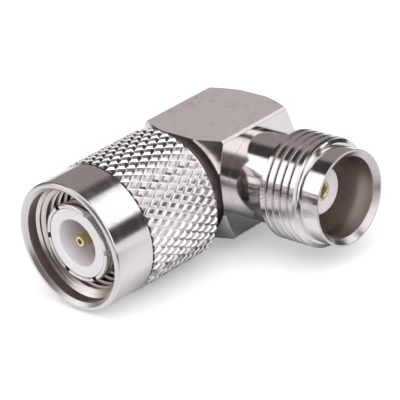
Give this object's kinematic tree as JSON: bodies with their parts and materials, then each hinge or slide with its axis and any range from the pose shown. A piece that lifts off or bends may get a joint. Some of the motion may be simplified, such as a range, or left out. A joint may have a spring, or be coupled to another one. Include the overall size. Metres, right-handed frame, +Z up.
{
  "type": "right-angle coax adapter",
  "caption": "Right-angle coaxial adapter: square elbow block, plug with a slotted ferrule and a turning knurled coupling nut, and a threaded jack at right angles.",
  "frame": {"origin": "on the ground under the middle of the part's box", "axes": "+X out of the jack, -Y out of the plug, +Z up, so both connector axes lie level"},
  "size_m": [0.0238, 0.0274, 0.0137],
  "materials": {
    "nickel_block": "satin nickel plate over brass",
    "nickel_turned": "bright nickel plate over turned brass",
    "white_insulator": "waxy white fluoropolymer",
    "gold_contact": "gold plate over brass",
    "seal_rubber": "soft silicone rubber",
    "spring_bronze": "bare spring bronze"
  },
  "bodies": {
    "adapter": {"elbow_body": "nickel_block", "plug_ferrule": "nickel_turned", "plug_insulator": "white_insulator", "plug_pin": "gold_contact", "plug_gasket": "seal_rubber", "nut_retaining_ring": "spring_bronze", "jack_shell": "nickel_turned", "jack_insulator": "white_insulator", "jack_socket": "gold_contact"},
    "nut": {"coupling_nut": "nickel_turned"}
  },
  "joints": [
    {"name": "nut_turn", "type": "hinge", "parent": "adapter", "child": "nut", "pos_m": [-0.00502, 0, 0.00685], "axis": [0, -1, 0], "continuous": true}
  ]
}
